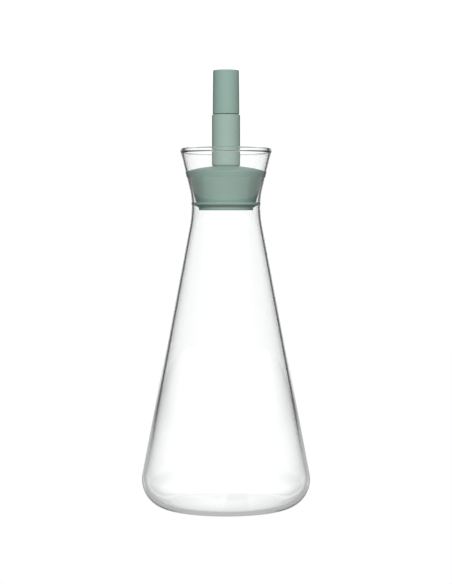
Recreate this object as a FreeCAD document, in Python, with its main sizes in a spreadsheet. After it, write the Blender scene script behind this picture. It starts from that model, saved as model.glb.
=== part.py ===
import FreeCAD, Part
import Sketcher
import math
import os
import re

# An oil cruet: a thin blown glass flask, a soft stopper wedged in its flared mouth,
# a straight pouring spout held in the stopper, and a cap pushed over the spout's nozzle.
# Every piece is turned about the Z axis, and the flask stands on z = 0.
# Lengths are in millimetres and angles in degrees.
SIZES = {
    # flask
    "body_radius": 43.5,          # widest point, low on the side
    "corner_radius": 14.8,        # outside round between the side and the base
    "neck_radius": 17.9,          # outside of the narrowest point
    "neck_height": 156.3,         # narrowest point above the base
    "shoulder_round": 59.5,       # hollow curve between the side and the neck
    "flare_round": 35.4,          # hollow curve between the neck and the mouth
    "flare_angle": 13.6,          # lean of the straight mouth
    "mouth_height": 29.5,         # rim above the neck
    "rim_radius": 1.15,           # section of the fire-polished rim
    "rim_blend": 0.5,             # round where the rim runs into the inside wall
    "wall": 1.2,                  # glass in the side, neck and mouth
    "floor_thickness": 2.0,       # glass in the base
    "heel_thickness": 1.8,        # inside round of the corner is smaller by this
    # stopper
    "stopper_fit": 0.1,           # gap between the stopper and the glass
    "stopper_height": 18.6,       # edge of the stopper's top above the neck
    "dome_rise": 1.6,             # seat of the spout above that edge
    "dome_edge_round": 2.5,       # soft outer edge of the top
    "fin_height": 2.1,            # top of the sealing fin above the neck
    "fin_edge": 0.8,              # fin's thickness at the glass
    "fin_reach": 2.7,             # fin's edge beyond the skirt below it
    "fin_slope": 40.0,            # lean of the fin's underside
    "skirt_depth": 2.4,           # underside of the stopper below the neck
    "skirt_round": 0.5,           # lower edge of the skirt
    "recess_depth": 3.0,          # moulded hollow in the underside
    "recess_wall": 2.0,           # skirt and collar on each side of that hollow
    # spout
    "stem_radius": 4.6,           # held inside the stopper
    "stem_fit": 0.05,             # gap between the stem and the stopper
    "stem_setback": 0.8,          # stem's end above the stopper's underside
    "sleeve_radius": 7.3,
    "sleeve_length": 26.4,
    "foot_round": 1.1,            # lower edge of the sleeve
    "lip_round": 0.4,             # upper edge of the sleeve
    "nozzle_radius": 4.0,         # at its root
    "tip_radius": 3.2,            # at its tip
    "nozzle_length": 13.0,
    "pour_radius": 1.8,           # channel right through the spout
    # cap
    "cap_radius": 6.9,            # at the open end
    "cap_top_radius": 6.7,
    "cap_length": 22.5,
    "cap_gap": 0.3,               # open joint between the cap and the sleeve
    "cap_fit": 0.15,              # gap between the cap's bore and the nozzle
    "cap_top_round": 0.5,
    "cap_lip_round": 0.3,
}

doc = FreeCAD.newDocument("oil_cruet")
sheet = doc.addObject("Spreadsheet::Sheet", "Sizes")
for row, (alias, number) in enumerate(SIZES.items(), start=1):
    sheet.set("A%d" % row, alias)
    sheet.set("B%d" % row, str(number))
    sheet.setAlias("B%d" % row, alias)
doc.recompute()


def bound(formula):
    """The formula with each size's name read from the sheet."""
    return re.sub(r"[a-z]\w+", lambda m: "Sizes." + m[0] if m[0] in SIZES else m[0], formula)


def value(formula):
    """What a formula of sizes comes to now."""
    return float(sheet.evalExpression(bound(formula)))


def add(*terms):
    """One formula that is the sum of the terms."""
    return " + ".join("(%s)" % term for term in terms)


class Section:
    """The drawn half of a turned piece: x is the distance from the axis, y the height."""

    ORIGIN = (-1, 1)
    AXIS = -2

    def __init__(self, body, name):
        self.sketch = body.newObject("Sketcher::SketchObject", name)
        plane = next(f for f in body.Origin.OriginFeatures if f.Role == "XZ_Plane")
        self.sketch.AttachmentSupport = (plane, [""])
        self.sketch.MapMode = "FlatFace"

    def line(self, start, end):
        return self.sketch.addGeometry(Part.LineSegment(vector(start), vector(end)), False)

    def arc(self, centre, radius, first, last):
        """The arc runs anticlockwise, from point 1 at the first angle to point 2."""
        circle = Part.Circle(vector(centre), FreeCAD.Vector(0, 0, 1), radius)
        span = math.radians(first), math.radians(last)
        return self.sketch.addGeometry(Part.ArcOfCircle(circle, *span), False)

    def rule(self, kind, *where):
        self.sketch.addConstraint(Sketcher.Constraint(kind, *where))

    def size(self, kind, *where, formula):
        """A dimension that follows the sheet."""
        start = value(formula)
        if kind == "Angle":
            start = math.radians(start)
        index = self.sketch.addConstraint(Sketcher.Constraint(kind, *where, start))
        self.sketch.setExpression("Constraints[%d]" % index, bound(formula))

    def place(self, curve, point, radius=None, height=None):
        """Hold a point of a curve at its distance from the axis and its height."""
        if radius is not None:
            self.size("DistanceX", *self.ORIGIN, curve, point, formula=radius)
        if height is not None:
            self.size("DistanceY", *self.ORIGIN, curve, point, formula=height)

    def run(self, corners):
        """Straight lines from corner to corner, each given as (radius, height) formulas."""
        points = [(value(radius), value(height)) for radius, height in corners]
        lines = [self.line(start, end) for start, end in zip(points, points[1:])]
        for line, following in zip(lines, lines[1:]):
            self.rule("Coincident", line, 2, following, 1)
        for line, (radius, height) in zip(lines, corners):
            self.place(line, 1, radius, height)
        self.place(lines[-1], 2, *corners[-1])
        return lines

    def outline(self, corners):
        """A closed run of lines."""
        lines = self.run(corners)
        closing = self.line(*[(value(radius), value(height)) for radius, height in (corners[-1], corners[0])])
        self.rule("Coincident", lines[-1], 2, closing, 1)
        self.rule("Coincident", closing, 2, lines[0], 1)

    def turn(self, body, name):
        """Turn the section once round the axis."""
        turned = body.newObject("PartDesign::Revolution", name)
        turned.Profile = self.sketch
        turned.ReferenceAxis = (self.sketch, ["V_Axis"])
        turned.Angle = 360
        body.Tip = turned
        doc.recompute()
        return turned


def vector(point):
    return FreeCAD.Vector(point[0], point[1], 0)


def polar(centre, radius, degrees):
    """The point of a circle at an angle."""
    angle = math.radians(degrees)
    return centre[0] + radius * math.cos(angle), centre[1] + radius * math.sin(angle)


def new_body(label):
    body = doc.addObject("PartDesign::Body", label.capitalize())
    body.Label = label
    return body


def soften(body, name, radius, *rims):
    """Round the circular edges that lie at these (radius, height) formulas."""
    sharp = body.Tip
    wanted = [(value(rim_radius), value(rim_height)) for rim_radius, rim_height in rims]
    chosen = []
    for number, edge in enumerate(sharp.Shape.Edges, start=1):
        if not isinstance(edge.Curve, Part.Circle):
            continue
        rim = edge.Curve.Radius, edge.Curve.Center.z
        if any(math.dist(rim, place) < 0.01 for place in wanted):
            chosen.append("Edge%d" % number)
    if len(chosen) != len(rims):
        raise ValueError("%s found %d edges of %d" % (name, len(chosen), len(rims)))
    fillet = body.newObject("PartDesign::Fillet", name)
    fillet.Base = (sharp, chosen)
    fillet.setExpression("Radius", bound(radius))
    body.Tip = fillet
    doc.recompute()


# Heights and radii that more than one piece shares.
RIM_TOP = "neck_height + mouth_height"
# The straight inside of the mouth leans out from this radius at the height of the neck.
MOUTH_ROOT = "neck_radius - flare_round * (1 / cos(flare_angle) - 1) - wall / cos(flare_angle)"
STOPPER_UNDERSIDE = "neck_height - skirt_depth"
STOPPER_EDGE = "neck_height + stopper_height"
SPOUT_SEAT = add(STOPPER_EDGE, "dome_rise")
SLEEVE_TOP = add(SPOUT_SEAT, "sleeve_length")
CAP_BOTTOM = add(SLEEVE_TOP, "cap_gap")
NOZZLE_TIP = add(SLEEVE_TOP, "nozzle_length")


def make_flask():
    """Blown glass: a wide cone on a soft corner, a narrow neck and a flared, polished mouth."""
    body = new_body("flask")
    drawn = Section(body, "GlassSection")
    size = SIZES
    lean = math.degrees(math.atan2(size["body_radius"] - size["neck_radius"], size["neck_height"]))
    flare = size["flare_angle"]
    corner = size["body_radius"] - size["corner_radius"], size["corner_radius"]
    below = size["neck_radius"] + size["shoulder_round"], size["neck_height"]
    above = size["neck_radius"] + size["flare_round"], size["neck_height"]
    floor_round = size["corner_radius"] - size["heel_thickness"]
    floor_corner = corner[0], size["floor_thickness"] + floor_round
    rim_reach = value(add(MOUTH_ROOT, "mouth_height * tan(flare_angle)"))
    rim_centre = rim_reach, value(RIM_TOP) - size["rim_radius"]
    blend_reach = size["wall"] + size["rim_blend"] - size["rim_radius"]
    blend_span = size["rim_radius"] + size["rim_blend"]
    rim_end = 180 - flare + math.degrees(math.acos(blend_reach / blend_span))
    blend_centre = polar(rim_centre, blend_span, rim_end)

    # The outside, from the axis out along the base and up to the rim.
    base = drawn.line((0, 0), (corner[0], 0))
    heel = drawn.arc(corner, size["corner_radius"], -90, lean)
    shoulder = drawn.arc(below, size["shoulder_round"], 180, 180 + lean)
    throat = drawn.arc(above, size["flare_round"], 180 - flare, 180)
    side_foot = polar(corner, size["corner_radius"], lean)
    side_head = polar(below, size["shoulder_round"], 180 + lean)
    side = drawn.line(side_foot, side_head)
    mouth_foot = polar(above, size["flare_round"], 180 - flare)
    mouth = drawn.line(mouth_foot, polar(rim_centre, size["rim_radius"], -flare))
    rim = drawn.arc(rim_centre, size["rim_radius"], -flare, rim_end)

    # The inside, from the rim down to the floor and in to the axis.
    inner_flare_round = size["flare_round"] + size["wall"]
    inner_shoulder_round = size["shoulder_round"] + size["wall"]
    inner_mouth_foot = polar(above, inner_flare_round, 180 - flare)
    blend = drawn.arc(blend_centre, size["rim_blend"], -flare, rim_end - 180)
    inner_mouth = drawn.line(polar(blend_centre, size["rim_blend"], -flare), inner_mouth_foot)
    inner_throat = drawn.arc(above, inner_flare_round, 180 - flare, 180)
    inner_shoulder = drawn.arc(below, inner_shoulder_round, 180, 180 + lean)
    inner_side_foot = polar(floor_corner, floor_round, lean)
    inner_side = drawn.line(polar(below, inner_shoulder_round, 180 + lean), inner_side_foot)
    inner_heel = drawn.arc(floor_corner, floor_round, -90, lean)
    floor = drawn.line((corner[0], size["floor_thickness"]), (0, size["floor_thickness"]))
    axis = drawn.line((0, size["floor_thickness"]), (0, 0))

    drawn.rule("Coincident", base, 1, *Section.ORIGIN)
    drawn.rule("Horizontal", base)
    drawn.rule("Tangent", base, 2, heel, 1)
    drawn.rule("Tangent", heel, 2, side, 1)
    drawn.rule("Tangent", side, 2, shoulder, 2)
    drawn.rule("Tangent", shoulder, 1, throat, 2)
    drawn.rule("Tangent", throat, 1, mouth, 1)
    drawn.rule("Tangent", mouth, 2, rim, 1)
    drawn.rule("Tangent", rim, 2, blend, 2)
    drawn.rule("Tangent", blend, 1, inner_mouth, 1)
    drawn.rule("Tangent", inner_mouth, 2, inner_throat, 1)
    drawn.rule("Tangent", inner_throat, 2, inner_shoulder, 1)
    drawn.rule("Tangent", inner_shoulder, 2, inner_side, 1)
    drawn.rule("Tangent", inner_side, 2, inner_heel, 2)
    drawn.rule("Tangent", inner_heel, 1, floor, 1)
    drawn.rule("Horizontal", floor)
    drawn.rule("PointOnObject", floor, 2, Section.AXIS)
    drawn.rule("Coincident", floor, 2, axis, 1)
    drawn.rule("Coincident", axis, 2, base, 1)
    drawn.rule("Coincident", inner_shoulder, 3, shoulder, 3)
    drawn.rule("Parallel", inner_side, side)
    drawn.rule("Parallel", inner_mouth, mouth)

    drawn.size("Radius", heel, formula="corner_radius")
    drawn.size("Radius", shoulder, formula="shoulder_round")
    drawn.size("Radius", throat, formula="flare_round")
    drawn.size("Radius", rim, formula="rim_radius")
    drawn.size("Radius", blend, formula="rim_blend")
    drawn.size("Radius", inner_throat, formula="flare_round + wall")
    drawn.size("Radius", inner_shoulder, formula="shoulder_round + wall")
    drawn.size("Radius", inner_heel, formula="corner_radius - heel_thickness")
    drawn.size("Angle", mouth, formula="90 - flare_angle")
    drawn.place(heel, 3, radius="body_radius - corner_radius")
    drawn.place(shoulder, 3, height="neck_height")
    drawn.place(shoulder, 1, radius="neck_radius", height="neck_height")
    drawn.place(inner_shoulder, 1, height="neck_height")
    drawn.place(rim, 3, height=add(RIM_TOP, "-rim_radius"))
    drawn.place(floor, 1, height="floor_thickness")
    drawn.turn(body, "GlassTurned")
    return body


def make_stopper():
    """Soft moulded bung: a domed top, a cone that seats in the mouth, and a fin that seals."""
    body = new_body("stopper")
    drawn = Section(body, "StopperSection")
    cone_root = add(MOUTH_ROOT, "-stopper_fit / cos(flare_angle)")
    cone_foot = add(cone_root, "fin_height * tan(flare_angle)")
    cone_head = add(cone_root, "stopper_height * tan(flare_angle)")
    fin_radius = "neck_radius - wall - stopper_fit"
    skirt_radius = add(fin_radius, "-fin_reach")
    fin_top = "neck_height + fin_height"
    fin_low = add(fin_top, "-fin_edge")
    fin_root = add(fin_low, "-fin_reach * tan(fin_slope)")
    bore_radius = "stem_radius + stem_fit"
    collar_radius = add(bore_radius, "recess_wall")
    recess_radius = add(skirt_radius, "-recess_wall")
    recess_top = add(STOPPER_UNDERSIDE, "recess_depth")
    lines = drawn.run([
        ("sleeve_radius", SPOUT_SEAT),
        (bore_radius, SPOUT_SEAT),
        (bore_radius, STOPPER_UNDERSIDE),
        (collar_radius, STOPPER_UNDERSIDE),
        (collar_radius, recess_top),
        (recess_radius, recess_top),
        (recess_radius, STOPPER_UNDERSIDE),
        (skirt_radius, STOPPER_UNDERSIDE),
        (skirt_radius, fin_root),
        (fin_radius, fin_low),
        (fin_radius, fin_top),
        (cone_foot, fin_top),
    ])
    # The dome is part of a ball: it falls by its rise from the spout's seat to the cone's head,
    # and a round leads from it into the cone.
    dome_drop = "((%s) ^ 2 + dome_rise ^ 2 - sleeve_radius ^ 2) / (2 * dome_rise)" % cone_head
    dome_centre = add(SPOUT_SEAT, "-" + dome_drop)
    round_radius = value("dome_edge_round")
    round_centre = value(cone_head) - round_radius, value(STOPPER_EDGE) - round_radius
    ball_centre = 0, value(dome_centre)
    ball_radius = math.hypot(value("sleeve_radius"), value(dome_drop))
    ball_lean = math.degrees(math.acos(value(cone_head) / ball_radius))
    cone = drawn.line((value(cone_foot), value(fin_top)), polar(round_centre, round_radius, 0))
    edge = drawn.arc(round_centre, round_radius, 0, ball_lean)
    dome = drawn.arc(ball_centre, ball_radius, ball_lean, 90 - value("sleeve_radius") / ball_radius)
    drawn.rule("Coincident", lines[-1], 2, cone, 1)
    drawn.rule("Tangent", cone, 2, edge, 1)
    drawn.rule("Tangent", edge, 2, dome, 1)
    drawn.rule("Coincident", dome, 2, lines[0], 1)
    drawn.rule("PointOnObject", dome, 3, Section.AXIS)
    drawn.size("Angle", cone, formula="90 - flare_angle")
    drawn.size("Radius", edge, formula="dome_edge_round")
    drawn.place(dome, 3, height=dome_centre)
    drawn.turn(body, "StopperTurned")
    soften(body, "SkirtEdge", "skirt_round", (skirt_radius, STOPPER_UNDERSIDE))
    return body


def make_spout():
    """Straight tube: a stem in the stopper, a sleeve above it and a nozzle under the cap."""
    body = new_body("spout")
    drawn = Section(body, "SpoutSection")
    stem_end = add(STOPPER_UNDERSIDE, "stem_setback")
    drawn.outline([
        ("pour_radius", NOZZLE_TIP),
        ("pour_radius", stem_end),
        ("stem_radius", stem_end),
        ("stem_radius", SPOUT_SEAT),
        ("sleeve_radius", SPOUT_SEAT),
        ("sleeve_radius", SLEEVE_TOP),
        ("nozzle_radius", SLEEVE_TOP),
        ("tip_radius", NOZZLE_TIP),
    ])
    drawn.turn(body, "SpoutTurned")
    soften(body, "SleeveFoot", "foot_round", ("sleeve_radius", SPOUT_SEAT))
    soften(body, "SleeveLip", "lip_round", ("sleeve_radius", SLEEVE_TOP))
    return body


def make_cap():
    """Slim cap, closed at the top, whose blind bore slides over the nozzle to its tip."""
    body = new_body("cap")
    drawn = Section(body, "CapSection")
    cap_top = add(CAP_BOTTOM, "cap_length")
    drawn.outline([
        ("0", cap_top),
        ("0", NOZZLE_TIP),
        ("tip_radius + cap_fit", NOZZLE_TIP),
        ("nozzle_radius + cap_fit", CAP_BOTTOM),
        ("cap_radius", CAP_BOTTOM),
        ("cap_top_radius", cap_top),
    ])
    drawn.turn(body, "CapTurned")
    soften(body, "CapTop", "cap_top_round", ("cap_top_radius", cap_top))
    soften(body, "CapLip", "cap_lip_round", ("cap_radius", CAP_BOTTOM))
    return body


pieces = [make_flask(), make_stopper(), make_spout(), make_cap()]
doc.recompute()

for item in doc.Objects:
    if {"Invalid", "Error"} & set(item.State):
        raise RuntimeError("%s did not build: %s" % (item.Name, item.State))
for piece in pieces:
    if piece.Shape.isNull() or not piece.Shape.isValid() or len(piece.Shape.Solids) != 1:
        raise RuntimeError("%s is not one valid solid" % piece.Label)

os.makedirs("parts", exist_ok=True)
for piece in pieces:
    piece.Shape.exportStep("parts/%s.step" % piece.Label)
    print("%-8s %9.1f mm3" % (piece.Label, piece.Shape.Volume))
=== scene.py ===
import math

import bmesh
import bpy
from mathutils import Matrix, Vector


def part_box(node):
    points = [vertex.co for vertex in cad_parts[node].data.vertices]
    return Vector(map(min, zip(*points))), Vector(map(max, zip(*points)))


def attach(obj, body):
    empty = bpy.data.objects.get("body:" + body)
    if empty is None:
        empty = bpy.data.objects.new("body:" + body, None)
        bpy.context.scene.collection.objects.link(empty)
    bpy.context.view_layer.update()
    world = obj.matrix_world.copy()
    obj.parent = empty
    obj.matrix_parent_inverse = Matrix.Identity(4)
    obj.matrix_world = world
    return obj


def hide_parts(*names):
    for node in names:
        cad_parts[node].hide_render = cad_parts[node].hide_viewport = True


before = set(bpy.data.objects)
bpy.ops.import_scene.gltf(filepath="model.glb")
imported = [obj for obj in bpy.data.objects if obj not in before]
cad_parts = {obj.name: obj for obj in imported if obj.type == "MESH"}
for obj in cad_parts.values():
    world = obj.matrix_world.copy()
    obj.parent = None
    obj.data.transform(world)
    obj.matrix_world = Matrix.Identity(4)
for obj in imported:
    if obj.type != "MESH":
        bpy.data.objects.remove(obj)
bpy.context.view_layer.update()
mm = 0.001


# Flask: thin clear glass, blown and turned while hot. A wide cone stands on a soft corner and
# runs through a narrow neck into a flared mouth with a fire-polished rim. It stands on its own
# flat base and holds everything above it.
flask_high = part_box("flask")[1]
body_radius = flask_high[0]
rim_top = flask_high[2]
corner_radius = 14.8 * mm
neck_radius = 17.9 * mm
neck_height = 156.3 * mm
shoulder_round = 59.5 * mm
flare_round = 35.4 * mm
flare_angle = 13.6
rim_radius = 1.15 * mm
rim_blend = 0.5 * mm
wall = 1.2 * mm
floor_thickness = 2.0 * mm
heel_thickness = 1.8 * mm
clear_glass = (0.995, 1.000, 0.998, 1.0)
thick_glass = (0.975, 0.990, 0.984, 1.0)
# The glass's edge colour is painted shade that darkens its outline, not a tint of the glass.
painted_edge_shade = (0.020, 0.026, 0.023, 1.0)
edge_falloff = 7.0            # how closely the dark keeps to the glass's edge
shadow_glass = (0.975, 0.985, 0.980, 1.0)
shadow_falloff = 2.0
hollow_step = 1               # degrees between corners in the long hollow curves
bead_step = 15                # and in the small rounds


def polar(centre, radius, degrees):
    """The (radius, height) of a point on a circle beside the axis."""
    angle = math.radians(degrees)
    return centre[0] + radius * math.cos(angle), centre[1] + radius * math.sin(angle)


def start_section(name, radius, height):
    """A new piece that is one corner so far: a small square merged to a point."""
    bpy.ops.object.select_all(action="DESELECT")
    bpy.ops.mesh.primitive_plane_add(size=mm, location=(radius, 0, height))
    piece = bpy.context.object
    piece.name = piece.data.name = name
    bpy.ops.object.transform_apply(location=True, rotation=False, scale=False)
    bpy.ops.object.mode_set(mode="EDIT")
    bpy.ops.mesh.select_all(action="SELECT")
    bpy.ops.mesh.merge(type="CENTER")
    return piece


def draw_line(radius, height, step=3 * mm):
    """Extrude the section's open end straight to a point, in steps that keep the shading even."""
    corners = bmesh.from_edit_mesh(bpy.context.edit_object.data).verts
    run = Vector((radius, 0, height)) - next(corner.co for corner in corners if corner.select)
    steps = max(1, round(run.length / step))
    for _ in range(steps):
        bpy.ops.mesh.extrude_region_move(TRANSFORM_OT_translate={"value": run / steps})


def draw_arc(centre, degrees, step=4):
    """Spin the section's open end round a centre, anticlockwise if degrees is positive."""
    bpy.ops.mesh.spin(
        steps=max(2, round(abs(degrees) / step)),
        angle=math.radians(degrees),
        center=(centre[0], 0, centre[1]),
        axis=(0, 1, 0),
    )


def turn_section(facets=192):
    """Spin the drawn section once round the axis and close it."""
    bpy.ops.mesh.select_all(action="SELECT")
    bpy.ops.mesh.spin(steps=facets, angle=2 * math.pi, center=(0, 0, 0), axis=(0, 0, 1))
    bpy.ops.mesh.select_all(action="SELECT")
    bpy.ops.mesh.remove_doubles(threshold=0.002 * mm)
    bpy.ops.mesh.normals_make_consistent(inside=False)
    bpy.ops.object.mode_set(mode="OBJECT")
    bpy.ops.object.shade_smooth_by_angle(angle=math.radians(25))


corner = body_radius - corner_radius, corner_radius
below = neck_radius + shoulder_round, neck_height
above = neck_radius + flare_round, neck_height
# The side is straight, and touches both the corner's round and the shoulder's.
across, up = below[0] - corner[0], below[1] - corner[1]
between_rounds = math.acos((corner_radius + shoulder_round) / math.hypot(across, up))
lean = math.degrees(math.atan2(up, across) - between_rounds)
side_head = polar(below, shoulder_round, 180 + lean)
mouth_foot = polar(above, flare_round, 180 - flare_angle)
flare = math.radians(flare_angle)
mouth_reach = (rim_top - rim_radius - mouth_foot[1]) * math.tan(flare)
rim_centre = mouth_foot[0] + mouth_reach - rim_radius / math.cos(flare), rim_top - rim_radius
rim_outside = polar(rim_centre, rim_radius, -flare_angle)
blend_span = rim_radius + rim_blend
rim_turn = 180 - flare_angle + math.degrees(math.acos((wall + rim_blend - rim_radius) / blend_span))
blend_centre = polar(rim_centre, blend_span, rim_turn)
inner_corner_radius = corner_radius - heel_thickness
inner_corner = corner[0], floor_thickness + inner_corner_radius
inner_flare_round = flare_round + wall

flask = start_section("flask_glass", 0, 0)
draw_line(corner[0], 0)
draw_arc(corner, 90 + lean)
draw_line(*side_head)
draw_arc(below, -lean, step=hollow_step)
draw_arc(above, -flare_angle, step=hollow_step)
draw_line(*rim_outside)
draw_arc(rim_centre, rim_turn + flare_angle, step=bead_step)
draw_arc(blend_centre, 180 - rim_turn - flare_angle, step=bead_step)
draw_line(*polar(above, inner_flare_round, 180 - flare_angle))
draw_arc(above, flare_angle, step=hollow_step)
draw_arc(below, lean, step=hollow_step)
draw_line(*polar(inner_corner, inner_corner_radius, lean))
draw_arc(inner_corner, -(90 + lean))
draw_line(0, floor_thickness)
turn_section()


def new_material(name):
    """A material, its node tree and its Principled shader."""
    material = bpy.data.materials.new(name)
    material.use_nodes = True
    tree = material.node_tree
    return material, tree, tree.nodes["Principled BSDF"]


def place(piece, material, node):
    """Finish a piece: its material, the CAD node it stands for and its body."""
    piece.data.materials.clear()
    piece.data.materials.append(material)
    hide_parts(node)
    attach(piece, "root")


glass, tree, shader = new_material("blown_glass")
coords = tree.nodes.new("ShaderNodeTexCoord")
waves = tree.nodes.new("ShaderNodeTexNoise")
waves.inputs["Scale"].default_value = 28
waves.inputs["Detail"].default_value = 1
tree.links.new(coords.outputs["Object"], waves.inputs["Vector"])
tint = tree.nodes.new("ShaderNodeMix")
tint.data_type = "RGBA"
tint.inputs["A"].default_value = clear_glass
tint.inputs["B"].default_value = thick_glass
tree.links.new(waves.outputs["Fac"], tint.inputs["Factor"])
# Seen edge on, the glass's colour is painted dark: painted shade that draws the glass's outline.
grazing = tree.nodes.new("ShaderNodeLayerWeight")
grazing.inputs["Blend"].default_value = 0.5
edge_on = tree.nodes.new("ShaderNodeMath")
edge_on.operation = "POWER"
edge_on.inputs[1].default_value = edge_falloff
edge_shaded = tree.nodes.new("ShaderNodeMix")
edge_shaded.data_type = "RGBA"
edge_shaded.inputs["B"].default_value = painted_edge_shade
tree.links.new(grazing.outputs["Facing"], edge_on.inputs[0])
tree.links.new(edge_on.outputs[0], edge_shaded.inputs["Factor"])
tree.links.new(tint.outputs["Result"], edge_shaded.inputs["A"])
tree.links.new(edge_shaded.outputs["Result"], shader.inputs["Base Color"])
ripple = tree.nodes.new("ShaderNodeBump")
ripple.inputs["Strength"].default_value = 0.02
ripple.inputs["Distance"].default_value = 0.2 * mm
tree.links.new(waves.outputs["Fac"], ripple.inputs["Height"])
tree.links.new(ripple.outputs["Normal"], shader.inputs["Normal"])
shader.inputs["Roughness"].default_value = 0.0
shader.inputs["IOR"].default_value = 1.48
shader.inputs["Transmission Weight"].default_value = 1.0
# Light for what stands behind thin glass goes straight through, and is dimmed where it grazes.
passing = tree.nodes.new("ShaderNodeLightPath")
lamp_or_bounce = tree.nodes.new("ShaderNodeMath")
lamp_or_bounce.operation = "MAXIMUM"
turned_back = tree.nodes.new("ShaderNodeMath")
turned_back.operation = "POWER"
turned_back.inputs[1].default_value = shadow_falloff
dimmed = tree.nodes.new("ShaderNodeMix")
dimmed.data_type = "RGBA"
dimmed.inputs["A"].default_value = shadow_glass
dimmed.inputs["B"].default_value = (0.0, 0.0, 0.0, 1.0)
window = tree.nodes.new("ShaderNodeBsdfTransparent")
tree.links.new(grazing.outputs["Facing"], turned_back.inputs[0])
tree.links.new(turned_back.outputs[0], dimmed.inputs["Factor"])
tree.links.new(dimmed.outputs["Result"], window.inputs["Color"])
either = tree.nodes.new("ShaderNodeMixShader")
tree.links.new(passing.outputs["Is Shadow Ray"], lamp_or_bounce.inputs[0])
tree.links.new(passing.outputs["Is Diffuse Ray"], lamp_or_bounce.inputs[1])
tree.links.new(lamp_or_bounce.outputs[0], either.inputs[0])
tree.links.new(shader.outputs["BSDF"], either.inputs[1])
tree.links.new(window.outputs["BSDF"], either.inputs[2])
tree.links.new(either.outputs["Shader"], tree.nodes["Material Output"].inputs["Surface"])
place(flask, glass, "flask")


# Stopper: soft grey-green silicone, moulded in one piece with a domed top, a cone that wedges
# in the flared mouth and a thin fin that wipes the neck. It is pushed in by hand, and where
# it presses on the glass no air shows between them.
stopper_low, stopper_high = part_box("stopper")
spout_low, spout_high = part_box("spout")
stopper_underside = stopper_low[2]
spout_seat = stopper_high[2]
dome_rise = 2.5 * mm
dome_edge_round = 0.7 * mm
edge_step = 9
stopper_edge = spout_seat - dome_rise
sleeve_radius = spout_high[0]
stem_radius = 4.6 * mm
press = 0.12 * mm             # how far the soft cone and fin reach into the glass
contact_depth = 1.0 * mm      # cone below the dome's edge that touches the glass
relief = 0.70 * mm            # the gap it leaves to the glass at the fin
fin_top = neck_height + 1.6 * mm
fin_edge = 1.2 * mm
fin_reach = 2.7 * mm
fin_slope = 28.0
recess_depth = 3.0 * mm
recess_wall = 2.0 * mm
soft_green = (0.172, 0.252, 0.220, 1.0)
mottle = (0.75, 0.78, 0.76, 1.0)
mottle_roughness = 0.12


def inside_mouth(height):
    """The radius of the glass inside the straight mouth, at a height."""
    return mouth_foot[0] - wall / math.cos(flare) + (height - mouth_foot[1]) * math.tan(flare)


fin_radius = neck_radius - wall + press
skirt_radius = neck_radius - wall - fin_reach
fin_low = fin_top - fin_edge
recess_top = stopper_underside + recess_depth
cone_head = inside_mouth(stopper_edge) + press
contact_foot = stopper_edge - contact_depth
dome_drop = (cone_head ** 2 + dome_rise ** 2 - sleeve_radius ** 2) / (2 * dome_rise)
ball_centre = 0, spout_seat - dome_drop
ball_radius = math.hypot(sleeve_radius, dome_drop)
# The edge's round touches the cone and the ball, from the inside of both.
slope = math.tan(flare)
reach = inside_mouth(ball_centre[1]) + press - dome_edge_round / math.cos(flare)
spare = (reach * slope) ** 2 - (1 + slope ** 2) * (reach ** 2 - (ball_radius - dome_edge_round) ** 2)
edge_rise = (math.sqrt(spare) - reach * slope) / (1 + slope ** 2)
edge_centre = reach + slope * edge_rise, ball_centre[1] + edge_rise
edge_lean = math.degrees(math.atan2(edge_rise, edge_centre[0]))
seat_lean = math.degrees(math.acos(sleeve_radius / ball_radius))
stopper = start_section("soft_stopper", sleeve_radius, spout_seat)
draw_line(stem_radius, spout_seat)
draw_line(stem_radius, stopper_underside)
draw_line(stem_radius + recess_wall, stopper_underside)
draw_line(stem_radius + recess_wall, recess_top)
draw_line(skirt_radius - recess_wall, recess_top)
draw_line(skirt_radius - recess_wall, stopper_underside)
draw_line(skirt_radius, stopper_underside)
draw_line(skirt_radius, fin_low - (fin_reach + press) * math.tan(math.radians(fin_slope)))
draw_line(fin_radius, fin_low)
draw_line(fin_radius, fin_top)
draw_line(inside_mouth(fin_top) - relief, fin_top)
draw_line(inside_mouth(contact_foot) + press, contact_foot)
draw_line(*polar(edge_centre, dome_edge_round, -flare_angle))
draw_arc(edge_centre, edge_lean + flare_angle, step=edge_step)
draw_arc(ball_centre, seat_lean - edge_lean, step=hollow_step)
turn_section()

moulded = bpy.data.node_groups.new("moulded_surface", "ShaderNodeTree")
moulded.interface.new_socket("Colour", in_out="INPUT", socket_type="NodeSocketColor")
moulded.interface.new_socket("Shade", in_out="INPUT", socket_type="NodeSocketFloat")
moulded.interface.new_socket("Grain size", in_out="INPUT", socket_type="NodeSocketFloat")
moulded.interface.new_socket("Gloss", in_out="INPUT", socket_type="NodeSocketFloat")
moulded.interface.new_socket("Colour", in_out="OUTPUT", socket_type="NodeSocketColor")
moulded.interface.new_socket("Roughness", in_out="OUTPUT", socket_type="NodeSocketFloat")
moulded.interface.new_socket("Height", in_out="OUTPUT", socket_type="NodeSocketFloat")
into = moulded.nodes.new("NodeGroupInput")
out = moulded.nodes.new("NodeGroupOutput")
where = moulded.nodes.new("ShaderNodeTexCoord")
grain = moulded.nodes.new("ShaderNodeTexNoise")
grain.inputs["Detail"].default_value = 3
cloud = moulded.nodes.new("ShaderNodeTexNoise")
cloud.inputs["Scale"].default_value = 60
darker = moulded.nodes.new("ShaderNodeMix")
darker.data_type = "RGBA"
darker.blend_type = "MULTIPLY"
level = moulded.nodes.new("ShaderNodeMath")
level.operation = "MULTIPLY"
rough = moulded.nodes.new("ShaderNodeMath")
rough.operation = "MULTIPLY_ADD"
rough.inputs[1].default_value = mottle_roughness
moulded.links.new(where.outputs["Object"], grain.inputs["Vector"])
moulded.links.new(where.outputs["Object"], cloud.inputs["Vector"])
moulded.links.new(into.outputs["Grain size"], grain.inputs["Scale"])
moulded.links.new(cloud.outputs["Fac"], level.inputs[0])
moulded.links.new(into.outputs["Shade"], level.inputs[1])
moulded.links.new(level.outputs[0], darker.inputs["Factor"])
moulded.links.new(into.outputs["Colour"], darker.inputs["A"])
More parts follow.
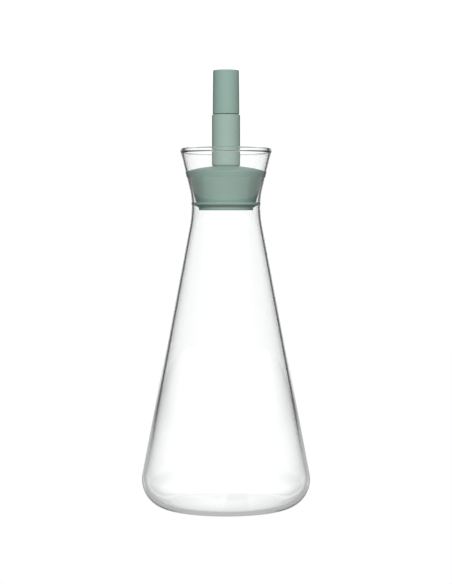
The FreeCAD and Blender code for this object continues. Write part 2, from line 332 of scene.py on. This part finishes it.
darker.inputs["B"].default_value = mottle
moulded.links.new(darker.outputs["Result"], out.inputs["Colour"])
moulded.links.new(cloud.outputs["Fac"], rough.inputs[0])
moulded.links.new(into.outputs["Gloss"], rough.inputs[2])
moulded.links.new(rough.outputs[0], out.inputs["Roughness"])
moulded.links.new(grain.outputs["Fac"], out.inputs["Height"])


def moulded_material(name, colour, shade, grain_size, roughness, grain_height):
    """A matt moulded surface with its own colour, mottling and grain."""
    material, tree, shader = new_material(name)
    surface = tree.nodes.new("ShaderNodeGroup")
    surface.node_tree = moulded
    surface.inputs["Colour"].default_value = colour
    surface.inputs["Shade"].default_value = shade
    surface.inputs["Grain size"].default_value = grain_size
    surface.inputs["Gloss"].default_value = roughness
    bump = tree.nodes.new("ShaderNodeBump")
    bump.inputs["Strength"].default_value = 0.15
    bump.inputs["Distance"].default_value = grain_height
    tree.links.new(surface.outputs["Colour"], shader.inputs["Base Color"])
    tree.links.new(surface.outputs["Roughness"], shader.inputs["Roughness"])
    tree.links.new(surface.outputs["Height"], bump.inputs["Height"])
    tree.links.new(bump.outputs["Normal"], shader.inputs["Normal"])
    return material


rubber = moulded_material(
    "soft_silicone", soft_green, shade=0.15, grain_size=900, roughness=0.50, grain_height=0.03 * mm)
place(stopper, rubber, "stopper")


# Spout: a straight tube of grey-green plastic. A stem is pushed through the stopper, a thicker
# sleeve with a rounded foot stands on the dome, and a slim nozzle, hidden by the cap, carries
# the pouring channel to the tip.
sleeve_top = spout_seat + 26.4 * mm
foot_round = 1.1 * mm
foot_step = 12
lip_round = 0.4 * mm
nozzle_radius = 4.0 * mm
tip_radius = 3.2 * mm
pour_radius = 1.8 * mm
nozzle_tip = spout_high[2]
stem_end = spout_low[2]
sleeve_green = (0.200, 0.270, 0.238, 1.0)
slim_facets = 128

spout = start_section("spout_sleeve", pour_radius, nozzle_tip)
draw_line(pour_radius, stem_end)
draw_line(stem_radius, stem_end)
draw_line(stem_radius, spout_seat)
draw_line(sleeve_radius - foot_round, spout_seat)
draw_arc((sleeve_radius - foot_round, spout_seat + foot_round), 90, step=foot_step)
draw_line(sleeve_radius, sleeve_top - lip_round)
draw_arc((sleeve_radius - lip_round, sleeve_top - lip_round), 90, step=bead_step)
draw_line(nozzle_radius, sleeve_top)
draw_line(tip_radius, nozzle_tip)
draw_line(pour_radius, nozzle_tip)
turn_section(slim_facets)
sleeve_plastic = moulded_material(
    "sleeve_plastic", sleeve_green, shade=0.10, grain_size=1200, roughness=0.45, grain_height=0.02 * mm)
place(spout, sleeve_plastic, "spout")


# Cap: a slim grey-green plastic cap, a little thinner than the sleeve and slightly tapered, with
# a flat top. Its blind bore slides over the nozzle until the nozzle's tip stops it.
cap_low, cap_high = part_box("cap")
cap_radius = cap_high[0]
cap_bottom = cap_low[2]
cap_top = cap_high[2]
cap_top_radius = 6.7 * mm
cap_top_round = 0.5 * mm
cap_lip_round = 0.3 * mm
cap_fit = 0.15 * mm
cap_green = (0.167, 0.243, 0.213, 1.0)

cap = start_section("pour_cap", 0, cap_top)
draw_line(0, nozzle_tip)
draw_line(tip_radius + cap_fit, nozzle_tip)
draw_line(nozzle_radius + cap_fit, cap_bottom)
draw_line(cap_radius - cap_lip_round, cap_bottom)
draw_arc((cap_radius - cap_lip_round, cap_bottom + cap_lip_round), 90, step=bead_step)
draw_line(cap_top_radius, cap_top - cap_top_round)
draw_arc((cap_top_radius - cap_top_round, cap_top - cap_top_round), 90, step=bead_step)
draw_line(0, cap_top)
turn_section(slim_facets)
cap_plastic = moulded_material(
    "cap_plastic", cap_green, shade=0.10, grain_size=1200, roughness=0.42, grain_height=0.02 * mm)
place(cap, cap_plastic, "cap")


# Studio: a round white table that gives light of its own, a bright panel behind the part and one
# soft lamp in front of it. The room is dark beside the panel, and through the glass the table shows
# a white strip, a painted pool of light, with painted shade beside it, which draws the glass in grey.
table_radius = 1.15
table_light = 1.35            # as seen through the glass
table_spill = 0.50            # what it throws on the part
# The strip's white is a painted pool of light, and its paler sides and the grey beside it are painted
# shade.
table_white = (0.90, 0.90, 0.90, 1.0)
strip_side_shade = (0.63, 0.63, 0.63, 1.0)
shade_beside_strip = (0.38, 0.38, 0.38, 1.0)
front_grey = -0.06            # the grey ends in front of the part, between these two lines
front_white = -0.12
strip_white = 0.35            # share of the strip's half width that is at its whitest
strip_edge = 0.0275           # half the white strip's width under the part
strip_swell = 0.031           # how much wider it gets over the first strip_step behind the part
strip_step = 0.05
strip_fan = 0.17              # how fast it widens further behind
strip_fade = 0.003            # how softly it ends under the part
strip_fade_fan = 0.10         # and how fast that grows behind it
panel_light = 1.12
panel_edge = 16.5             # degrees from straight behind the part
panel_fade = 24.0
shade_light = 0.13            # beside the panel
room_light = 0.42             # behind the camera, less towards the sides
room_back = -0.75             # Y of a direction that sees the room's light at its full
room_side = -0.05             # and of one that sees none of it
ceiling_light = 1.00
ceiling_low = 0.30            # Z of a direction where the ceiling's light begins
ceiling_high = 0.60           # and where it is at its full
lamp_place = 0, -1.5, 0.45
lamp_size = 0.6
lamp_power = 31
eye_distance = 0.929
eye_height = 0.1476
aim_height = 0.1117
lens = 111
sensor_width = 36

bpy.ops.object.select_all(action="DESELECT")
bpy.ops.mesh.primitive_circle_add(vertices=128, radius=table_radius, fill_type="NGON")
table = bpy.context.object
table.name = "table"
table_paint, tree, shader = new_material("table_paint")
tree.nodes.remove(shader)
coords = tree.nodes.new("ShaderNodeTexCoord")
spot = tree.nodes.new("ShaderNodeSeparateXYZ")
tree.links.new(coords.outputs["Object"], spot.inputs["Vector"])


def table_math(operation, *inputs):
    """A Math node in the table's paint that reads these outputs or numbers."""
    node = table_paint.node_tree.nodes.new("ShaderNodeMath")
    node.operation = operation
    for socket, source in zip(node.inputs, inputs):
        if isinstance(source, float):
            socket.default_value = source
        else:
            table_paint.node_tree.links.new(source, socket)
    return node.outputs[0]


# The white strip is a painted pool of light. It is as wide as the base under it, and widens behind it
# like a fan.
behind = table_math("MAXIMUM", spot.outputs["Y"], 0.0)
before = table_math("MINIMUM", spot.outputs["Y"], 0.0)
aside_squared = table_math("POWER", spot.outputs["X"], 2.0)
distance = table_math("SQRT", table_math("MULTIPLY_ADD", before, before, aside_squared))
swell = table_math("MINIMUM", table_math("MULTIPLY", behind, strip_swell / strip_step), strip_swell)
half_width = table_math("ADD", table_math("MULTIPLY_ADD", behind, strip_fan, strip_edge), swell)
softness = table_math("MULTIPLY_ADD", behind, strip_fade_fan, strip_fade)
beyond = table_math("DIVIDE", table_math("SUBTRACT", distance, half_width), softness)
strip = tree.nodes.new("ShaderNodeMapRange")
strip.interpolation_type = "SMOOTHSTEP"
middle_part = tree.nodes.new("ShaderNodeMapRange")
middle_part.inputs["From Min"].default_value = strip_white
paler = tree.nodes.new("ShaderNodeMix")
paler.data_type = "RGBA"
paler.inputs["A"].default_value = table_white
paler.inputs["B"].default_value = strip_side_shade
shading = tree.nodes.new("ShaderNodeMix")
shading.data_type = "RGBA"
shading.inputs["B"].default_value = shade_beside_strip
seen = tree.nodes.new("ShaderNodeLightPath")
near = tree.nodes.new("ShaderNodeMapRange")
near.inputs["From Min"].default_value = front_white
near.inputs["From Max"].default_value = front_grey
tree.links.new(spot.outputs["Y"], near.inputs["Value"])
tree.links.new(table_math("DIVIDE", distance, half_width), middle_part.inputs["Value"])
tree.links.new(beyond, strip.inputs["Value"])
side_part = table_math("MULTIPLY", middle_part.outputs["Result"], near.outputs["Result"])
shade_beside_mask = table_math("MULTIPLY", strip.outputs["Result"], near.outputs["Result"])
shade_mask = table_math("MAXIMUM", shade_beside_mask, seen.outputs["Is Reflection Ray"])
tree.links.new(side_part, paler.inputs["Factor"])
tree.links.new(shade_mask, shading.inputs["Factor"])
tree.links.new(paler.outputs["Result"], shading.inputs["A"])
# Seen directly the table is plain white. Through the glass it shows its painted pool of light with
# painted shade beside it, in a reflection it is painted shade all over, and what it throws on the part
# is dimmer than what is seen of it.
glow = tree.nodes.new("ShaderNodeEmission")
page = tree.nodes.new("ShaderNodeEmission")
table_glow = tree.nodes.new("ShaderNodeMixShader")
tree.links.new(shading.outputs["Result"], glow.inputs["Color"])
lit = table_math("MULTIPLY_ADD", seen.outputs["Is Diffuse Ray"], table_spill - table_light, table_light)
tree.links.new(lit, glow.inputs["Strength"])
tree.links.new(seen.outputs["Is Camera Ray"], table_glow.inputs[0])
tree.links.new(glow.outputs["Emission"], table_glow.inputs[1])
tree.links.new(page.outputs["Emission"], table_glow.inputs[2])
tree.links.new(table_glow.outputs["Shader"], tree.nodes["Material Output"].inputs["Surface"])
table.data.materials.append(table_paint)

world = bpy.data.worlds.new("studio")
bpy.context.scene.world = world
world.use_nodes = True
sky = world.node_tree
direction = sky.nodes.new("ShaderNodeTexCoord")
parts = sky.nodes.new("ShaderNodeSeparateXYZ")
sky.links.new(direction.outputs["Generated"], parts.inputs["Vector"])


def sky_math(operation, *inputs):
    """A Math node in the sky that reads these outputs."""
    node = sky.nodes.new("ShaderNodeMath")
    node.operation = operation
    for socket, source in zip(node.inputs, inputs):
        sky.links.new(source, socket)
    return node.outputs[0]


def sky_range(source, low, high, dark, bright):
    """Light that rises smoothly from dark to bright as the source goes from low to high."""
    node = sky.nodes.new("ShaderNodeMapRange")
    node.interpolation_type = "SMOOTHSTEP"
    sky.links.new(source, node.inputs["Value"])
    for name, number in zip(("From Min", "From Max", "To Min", "To Max"), (low, high, dark, bright)):
        node.inputs[name].default_value = number
    return node.outputs["Result"]


panel_start = math.cos(math.radians(panel_fade))
panel_full = math.cos(math.radians(panel_edge))
panel = sky_range(parts.outputs["Y"], panel_start, panel_full, shade_light, panel_light)
room = sky_range(parts.outputs["Y"], room_back, room_side, room_light, shade_light)
ceiling = sky_range(parts.outputs["Z"], ceiling_low, ceiling_high, shade_light, ceiling_light)
light = sky_math("MAXIMUM", panel, sky_math("MAXIMUM", room, ceiling))
sky.links.new(light, sky.nodes["Background"].inputs["Strength"])
sky.nodes["Background"].inputs["Color"].default_value = (1, 1, 1, 1)

middle = Vector((0, 0, aim_height))
bpy.ops.object.light_add(type="AREA", location=lamp_place)
lamp = bpy.context.object
lamp.name = "front_lamp"
lamp.data.size = lamp_size
lamp.data.energy = lamp_power
lamp.rotation_euler = (middle - lamp.location).to_track_quat("-Z", "Y").to_euler()
# The lamp lights the part and shows neither in it nor through it.
lamp.visible_camera = False
lamp.visible_glossy = False
lamp.visible_transmission = False

bpy.ops.object.camera_add(location=(0, -eye_distance, eye_height))
eye = bpy.context.object
eye.name = "eye"
eye.data.sensor_width = sensor_width
eye.data.lens = lens
eye.rotation_euler = (middle - eye.location).to_track_quat("-Z", "Y").to_euler()
bpy.context.scene.camera = eye
bpy.context.scene.view_settings.view_transform = "Standard"
